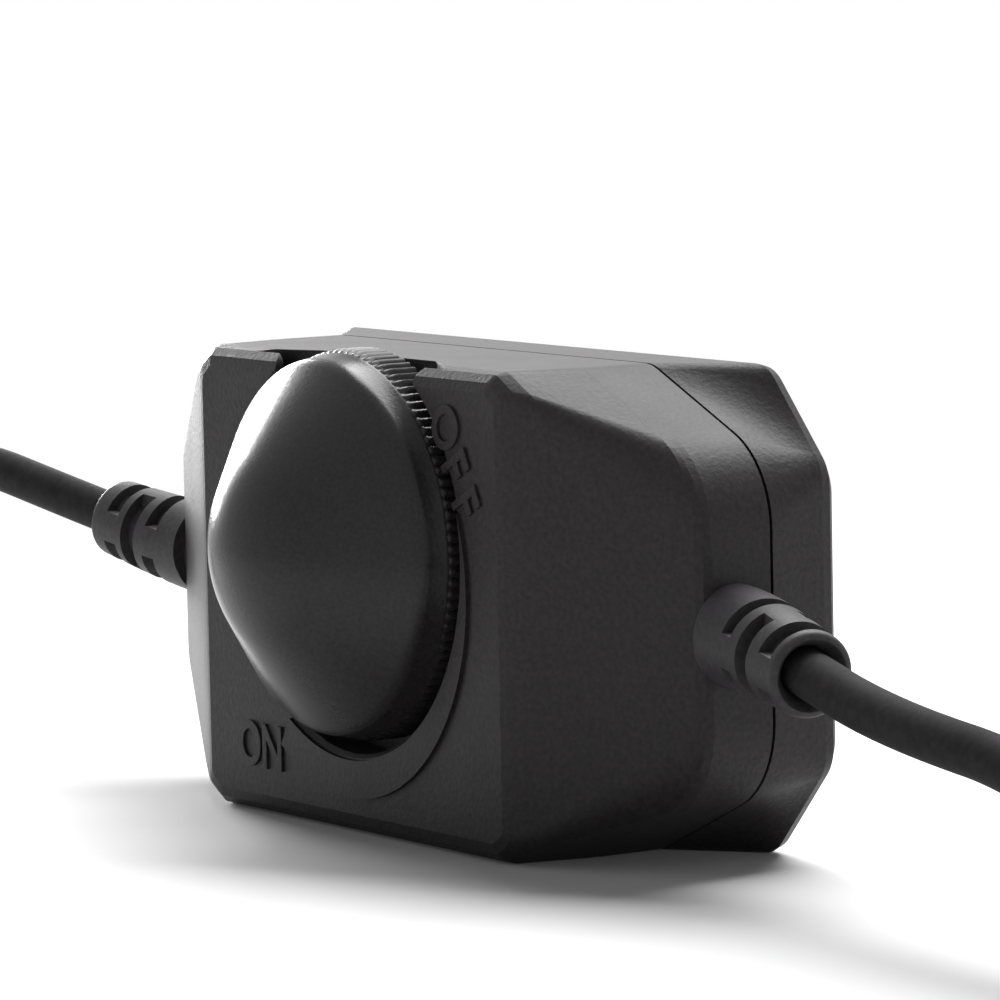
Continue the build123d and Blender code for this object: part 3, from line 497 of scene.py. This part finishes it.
class DIMMER_OT_reliefs(bpy.types.Operator):
    """Model the two slotted sleeves and bend each one along its cord"""
    bl_idname = "dimmer.reliefs"
    bl_label = "Strain reliefs"

    def execute(self, context):
        s = context.scene.dimmer.relief
        for side, way, route in (("left", -1, LEFT_ROUTE), ("right", 1, RIGHT_ROUTE)):
            sleeve = self.sleeve(s, getattr(s, f"{side}_length"), SLOTS[side])
            line = cord_line("bend_line", route)
            apply_modifier(sleeve, "CURVE", object=line, deform_axis="POS_X")
            bpy.data.objects.remove(line)
            self.flatten_root(sleeve, way)
            relief = join(f"{side}_relief_sleeve", [sleeve, self.neck(s, way)])
            smooth(relief, SLEEVE_SMOOTH)
            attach(relief, "housing")
            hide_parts(f"strain_relief_{side}")
            dress(relief, "relief")
        return {"FINISHED"}

    def sleeve(self, s, length, slots):
        """Straight sleeve along X, with its slots; its X is the distance from the cord's inner end."""
        wall = WALL_X + LEFT_ROUTE[0][0]
        piece = self.revolved("sleeve", self.sleeve_outline(s, wall, length))
        for spot, width, across in slots:
            near, far = wall + spot, wall + spot + width
            deep, wide = s.core_radius, 2 * s.root_radius
            outline = [(near, deep), (far, deep), (far, wide), (near, wide)]
            # turned by half a step, so that no edge of the ring meets an edge of the sleeve
            ring = self.revolved("slot_ring", outline, pi / SLEEVE_STEPS)
            half, long = s.bridge / 2, 3 * s.root_radius
            reach = (half, long) if across else (long, half)
            bridge = block("bridge", (wall, -reach[0], -reach[1]), (wall + length, reach[0], reach[1]))
            cut(ring, bridge)
            cut(piece, ring)
        return piece

    def revolved(self, name, profile, start=0):
        """Ring round the X axis from the places and radii of its outline, drawn at a start angle."""
        points = [(x, radius * sin(start), radius * cos(start)) for x, radius in profile]
        return lathe(name, points, (0, 0, 0), (1, 0, 0), SLEEVE_STEPS, closed=True)

    def sleeve_outline(self, s, wall, length):
        """Place and radius of each point of a sleeve: outside, rounded rim, mouth and bore."""
        end = wall + length
        soft = 0.5
        lip, thin = 0.12, 0.1
        turns = 5
        shares = [i / SLEEVE_ROWS for i in range(SLEEVE_ROWS + 1)]
        taper = s.tip_radius - s.root_radius
        outer = [(wall + share * (length - soft), s.root_radius + share * taper) for share in shares]
        rim = [
            (end - soft + soft * sin(angle), s.tip_radius - soft + soft * cos(angle))
            for angle in (pi / 2 * i / turns for i in range(1, turns + 1))
        ]
        mouth = [
            (end - lip, s.mouth_radius - thin),
            (end - s.mouth_depth / 2, (s.mouth_radius + s.bore) / 2 - thin),
            (end - s.mouth_depth, s.bore),
        ]
        deep = length - s.mouth_depth
        inner = [(end - s.mouth_depth - share * deep, s.bore) for share in shares[1:]]
        return [*outer, *rim, *mouth, *inner]

    def flatten_root(self, piece, way):
        """Lays the sleeve's root, up to just outside the wall, flat against the wall."""
        outside = 0.5
        start_editing(piece)
        bpy.ops.mesh.select_all(action="DESELECT")
        stop_editing()
        for vertex in piece.data.vertices:
            vertex.select = abs(vertex.co.x) < (WALL_X + outside) * MM
        bpy.ops.object.mode_set(mode="EDIT")
        bpy.ops.transform.resize(value=(0, 1, 1), center_override=(way * WALL_X * MM, 0, 0))
        stop_editing()

    def neck(self, s, way):
        """Neck through the wall and the flange behind it, with its flat front side."""
        clearance = edge = 0.2
        past_back, past_front = 1, 0.01
        bore = s.bore + clearance
        flange = WALL_X - s.neck_length
        back = flange - s.flange_thickness
        centre = Vector(RIGHT_ROUTE[0])
        profile = [
            (WALL_X, bore), (WALL_X, s.neck_radius), (flange, s.neck_radius),
            (flange, s.flange_radius - edge), (flange - edge, s.flange_radius),
            (back + edge, s.flange_radius), (back, s.flange_radius - edge), (back, bore),
        ]
        points = [(way * x, centre.y, centre.z + radius) for x, radius in profile]
        axis_point = (0, centre.y, centre.z)
        piece = lathe("neck", points, axis_point, (1, 0, 0), SLEEVE_STEPS, closed=True)
        low, high = sorted((way * (back - past_back), way * (flange + past_front)))
        tall = 2 * s.flange_radius
        front = centre.y - s.flange_trim
        cut(piece, block("trim", (low, front - tall, centre.z - tall), (high, front, centre.z + tall)))
        return piece


class DIMMER_OT_finishes(bpy.types.Operator):
    """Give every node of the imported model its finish"""
    bl_idname = "dimmer.finishes"
    bl_label = "Finishes"

    def execute(self, context):
        slots = {part["node"]: part["material_slot"] for part in frame["record"]["subparts"]}
        for name, node in frame["nodes"].items():
            smooth(node, CAD_SMOOTH)
            node.data.materials.clear()
            node.data.materials.append(finish_of(slots[name]))
        return {"FINISHED"}


class DIMMER_OT_knob(bpy.types.Operator):
    """Model the knob with its dished cap, cone, skirt and knurled wheel"""
    bl_idname = "dimmer.knob"
    bl_label = "Knob"

    def execute(self, context):
        settings = context.scene.dimmer.knob
        profile = [Vector((r, FRONT + depth, KNOB_Z)) for r, depth in self.outline(settings)]
        body = lathe("knob_body", profile, (0, 0, KNOB_Z), (0, 1, 0), KNOB_STEPS)
        ring = self.knurl(settings)
        knob = join("knob_moulding", [body, ring])
        smooth(knob, KNOB_SMOOTH)
        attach(knob, "knob")
        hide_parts("knob")
        dress(knob, "knob")
        return {"FINISHED"}

    def outline(self, s):
        """Radius and depth of each point of the knob's outline, from the tip to the bore."""
        cap_steps = 24
        angle = radians(s.cap_half_angle)
        turns = [angle * i / cap_steps for i in range(cap_steps + 1)]
        points = [(s.cap_radius * sin(a), s.cap_radius - s.tip - s.cap_radius * cos(a)) for a in turns]
        rim, rim_depth = points[-1]
        cone_back = rim_depth + (s.cone_radius - rim) * tan(angle)
        points += self.cone_edge(s, angle, cone_back)
        # small chamfers of the wheel, its back and the hub
        edge, back_edge, hub_edge = 0.1, 0.15, 0.2
        under_teeth = 0.05
        root = s.wheel_radius - s.tooth_height
        inner = root - s.wall
        cone_inside = cone_back + s.wall / cos(angle)
        inner_depth = cone_inside + (inner - s.cone_radius) * tan(angle)
        hub_depth = cone_inside + (s.hub_radius - s.cone_radius) * tan(angle)
        points += [
            (root - under_teeth, s.wheel_front), (root, s.wheel_front + edge), (root, s.wheel_back - edge),
            (root - back_edge, s.wheel_back), (inner, s.wheel_back), (inner, inner_depth),
            (s.hub_radius, hub_depth), (s.hub_radius, s.hub_back - hub_edge),
            (s.hub_radius - hub_edge, s.hub_back), (s.bore_radius + edge, s.hub_back),
            (s.bore_radius, s.hub_back - edge), (s.bore_radius, s.bore_front), (0, s.bore_front),
        ]
        return points

    def cone_edge(self, s, angle, cone_back):
        """Small round edge where the cone meets the skirt."""
        soft, skirt_lean = 0.7, 0.05
        steps = 8
        before = (s.cone_radius - soft * cos(angle), cone_back - soft * sin(angle))
        corner = (s.cone_radius, cone_back)
        after = (s.cone_radius + skirt_lean, cone_back + soft)
        edge = []
        for i in range(steps + 1):
            t = i / steps
            edge.append(tuple(
                (1 - t) ** 2 * b + 2 * t * (1 - t) * c + t ** 2 * a for b, c, a in zip(before, corner, after)
            ))
        return edge

    def knurl(self, s):
        """Band of rounded teeth round the wheel, which fade in behind the skirt."""
        per_tooth = 6
        roundness = 0.7
        count = s.teeth * per_tooth
        root = s.wheel_radius - s.tooth_height
        # each row: depth, share of the full tooth, and how far it is drawn in
        rows = [
            (s.wheel_front, 0, -0.1), (s.wheel_front + 0.25, 0.3, 0), (s.wheel_front + 0.6, 0.75, 0),
            (s.wheel_front + 1, 1, 0), (s.wheel_back - 0.3, 1, 0), (s.wheel_back - 0.08, 1, -0.2),
            (s.wheel_back, 1, -0.45),
        ]
        points = []
        for depth, share, inset in rows:
            for i in range(count):
                angle = 2 * pi * i / count
                wave = 0.5 + 0.5 * cos(s.teeth * angle)
                radius = root + share * s.tooth_height * wave ** roundness + inset
                points.append((radius * cos(angle), FRONT + depth, KNOB_Z + radius * sin(angle)))
        faces = []
        for row in range(len(rows) - 1):
            for i in range(count):
                here = row * count + i
                after = row * count + (i + 1) % count
                faces.append((here, after, after + count, here + count))
        band = mesh_piece("knurl_band", points, faces=faces)
        start_editing(band)
        bpy.ops.mesh.normals_make_consistent(inside=False)
        stop_editing()
        return band


class DIMMER_OT_letters(bpy.types.Operator):
    """Put ON and OFF on the front"""
    bl_idname = "dimmer.letters"
    bl_label = "Letters"

    def execute(self, context):
        s = context.scene.dimmer.letters
        words = {"letters_off": (OFF_SPOTS, radians(-s.off_turn)), "letters_on": (ON_SPOTS, 0)}
        for name, (spots, angle) in words.items():
            word = join(name, [self.letter(text, spot, angle, s) for text, spot in spots])
            smooth(word, LETTER_SMOOTH)
            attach(word, "housing")
            dress(word, "housing")
        return {"FINISHED"}

    def letter(self, text, spot, angle, s):
        """One raised letter, centred on its spot, turned in the plane of the front."""
        edge = 0.04
        curve = bpy.data.curves.new(f"letter_{text}", "FONT")
        curve.body = text
        curve.size = s.height * MM * FONT_SHARE
        curve.offset = s.boldness * MM
        curve.extrude = s.relief * MM
        curve.bevel_depth = edge * MM
        curve.bevel_resolution = 2
        piece = bpy.data.objects.new(f"letter_{text}", curve)
        bpy.context.scene.collection.objects.link(piece)
        activate(piece)
        bpy.ops.object.convert(target="MESH")
        bpy.ops.object.origin_set(type="ORIGIN_GEOMETRY", center="BOUNDS")
        place = Vector((spot[0], FRONT, spot[1])) * MM
        upright = Matrix.Rotation(pi / 2, 4, "X")
        narrow = Matrix.Diagonal((s.width, 1, 1, 1))
        piece.matrix_world = Matrix.Translation(place) @ Matrix.Rotation(-angle, 4, "Y") @ upright @ narrow
        bpy.ops.object.transform_apply(location=True, rotation=True, scale=True)
        return piece


class DIMMER_OT_stage(bpy.types.Operator):
    """Make the white floor, the soft lamps and the surroundings"""
    bl_idname = "dimmer.stage"
    bl_label = "Stage"

    def execute(self, context):
        settings = context.scene.dimmer.stage
        bpy.ops.object.select_all(action="DESELECT")
        bpy.ops.mesh.primitive_plane_add(size=FLOOR_SIZE, location=(0, 0, 0))
        floor = context.active_object
        floor.name = "floor"
        floor.data.materials.append(self.floor_material(settings))
        self.lamp("key_softbox", KEY_PLACE, KEY_SIZE, settings.key)
        self.lamp("back_softbox", BACK_PLACE, BACK_SIZE, settings.back)
        self.world(context, settings)
        context.scene.view_settings.view_transform = "Standard"
        return {"FINISHED"}

    def seen_directly(self, tree):
        """1 for camera, glossy and transmission rays, 0 for all others."""
        path = tree.nodes.new("ShaderNodeLightPath")
        first = tree.nodes.new("ShaderNodeMath")
        first.operation = "ADD"
        second = tree.nodes.new("ShaderNodeMath")
        second.operation = "ADD"
        second.use_clamp = True
        tree.links.new(path.outputs["Is Camera Ray"], first.inputs[0])
        tree.links.new(path.outputs["Is Glossy Ray"], first.inputs[1])
        tree.links.new(first.outputs["Value"], second.inputs[0])
        tree.links.new(path.outputs["Is Transmission Ray"], second.inputs[1])
        return second.outputs["Value"]

    def floor_material(self, settings):
        """Floor that shows the shadows near the object and is plain white further away."""
        material = bpy.data.materials.new("floor_white")
        material.use_nodes = True
        tree = material.node_tree
        tree.nodes.clear()
        out = tree.nodes.new("ShaderNodeOutputMaterial")
        mix = tree.nodes.new("ShaderNodeMixShader")
        matte = tree.nodes.new("ShaderNodeBsdfDiffuse")
        matte.inputs["Color"].default_value = (*settings.floor, 1)
        glow = tree.nodes.new("ShaderNodeEmission")
        place = tree.nodes.new("ShaderNodeTexCoord")
        distance = tree.nodes.new("ShaderNodeVectorMath")
        distance.operation = "LENGTH"
        fade = tree.nodes.new("ShaderNodeMapRange")
        fade.interpolation_type = "SMOOTHSTEP"
        fade.inputs["From Min"].default_value = settings.near * MM
        fade.inputs["From Max"].default_value = settings.far * MM
        fade.inputs["To Min"].default_value = FLOOR_GLOW
        share = tree.nodes.new("ShaderNodeMath")
        share.operation = "MULTIPLY"
        tree.links.new(place.outputs["Object"], distance.inputs[0])
        tree.links.new(distance.outputs["Value"], fade.inputs["Value"])
        tree.links.new(self.seen_directly(tree), share.inputs[0])
        tree.links.new(fade.outputs["Result"], share.inputs[1])
        tree.links.new(share.outputs["Value"], mix.inputs["Fac"])
        tree.links.new(matte.outputs["BSDF"], mix.inputs[1])
        tree.links.new(glow.outputs["Emission"], mix.inputs[2])
        tree.links.new(mix.outputs["Shader"], out.inputs["Surface"])
        return material

    def lamp(self, name, place, width, watts):
        """Softbox that faces the object and that the camera doesn't see."""
        light = bpy.data.lights.new(name, "AREA")
        light.shape = "RECTANGLE"
        light.size, light.size_y = width
        light.energy = watts
        lamp = bpy.data.objects.new(name, light)
        bpy.context.scene.collection.objects.link(lamp)
        lamp.visible_camera = False
        lamp.location = place
        aim = Vector((0, 0, MID_Z * MM)) - lamp.location
        lamp.rotation_euler = aim.to_track_quat("-Z", "Y").to_euler()

    def world(self, context, settings):
        """Pale surroundings that are white where the camera and the gloss see them."""
        world = bpy.data.worlds.new("studio")
        world.use_nodes = True
        context.scene.world = world
        tree = world.node_tree
        tree.nodes.clear()
        out = tree.nodes.new("ShaderNodeOutputWorld")
        light = tree.nodes.new("ShaderNodeBackground")
        light.inputs["Color"].default_value = (1, 1, 1, 1)
        light.inputs["Strength"].default_value = settings.fill
        white = tree.nodes.new("ShaderNodeBackground")
        white.inputs["Color"].default_value = (1, 1, 1, 1)
        mix = tree.nodes.new("ShaderNodeMixShader")
        tree.links.new(self.seen_directly(tree), mix.inputs["Fac"])
        tree.links.new(light.outputs["Background"], mix.inputs[1])
        tree.links.new(white.outputs["Background"], mix.inputs[2])
        tree.links.new(mix.outputs["Shader"], out.inputs["Surface"])


OPERATORS = [
    DIMMER_OT_camera, DIMMER_OT_reliefs, DIMMER_OT_cords, DIMMER_OT_finishes, DIMMER_OT_knob,
    DIMMER_OT_letters, DIMMER_OT_stage,
]


class DIMMER_PT_panel(bpy.types.Panel):
    """Buttons for each step of the dimmer"""
    bl_label = "LED strip dimmer"
    bl_idname = "DIMMER_PT_panel"
    bl_space_type = "VIEW_3D"
    bl_region_type = "UI"
    bl_category = "Dimmer"

    def draw(self, context):
        for operator in OPERATORS:
            self.layout.operator(operator.bl_idname)


CLASSES = [
    DimmerCamera, DimmerKnob, DimmerLetters, DimmerRelief, DimmerCords, DimmerColours, DimmerStage,
    DimmerSettings, *OPERATORS, DIMMER_PT_panel,
]


def register():
    """Registers every class and the settings on the scene."""
    for cls in CLASSES:
        bpy.utils.register_class(cls)
    bpy.types.Scene.dimmer = PointerProperty(type=DimmerSettings)


def unregister():
    """Removes the settings and every class."""
    del bpy.types.Scene.dimmer
    for cls in reversed(CLASSES):
        bpy.utils.unregister_class(cls)


def main():
    """Runs each step in order."""
    register()
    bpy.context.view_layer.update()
    bpy.ops.dimmer.camera()
    bpy.ops.dimmer.reliefs()
    bpy.ops.dimmer.cords()
    bpy.ops.dimmer.finishes()
    bpy.ops.dimmer.knob()
    bpy.ops.dimmer.letters()
    bpy.ops.dimmer.stage()


if __name__ == "__main__":
    main()
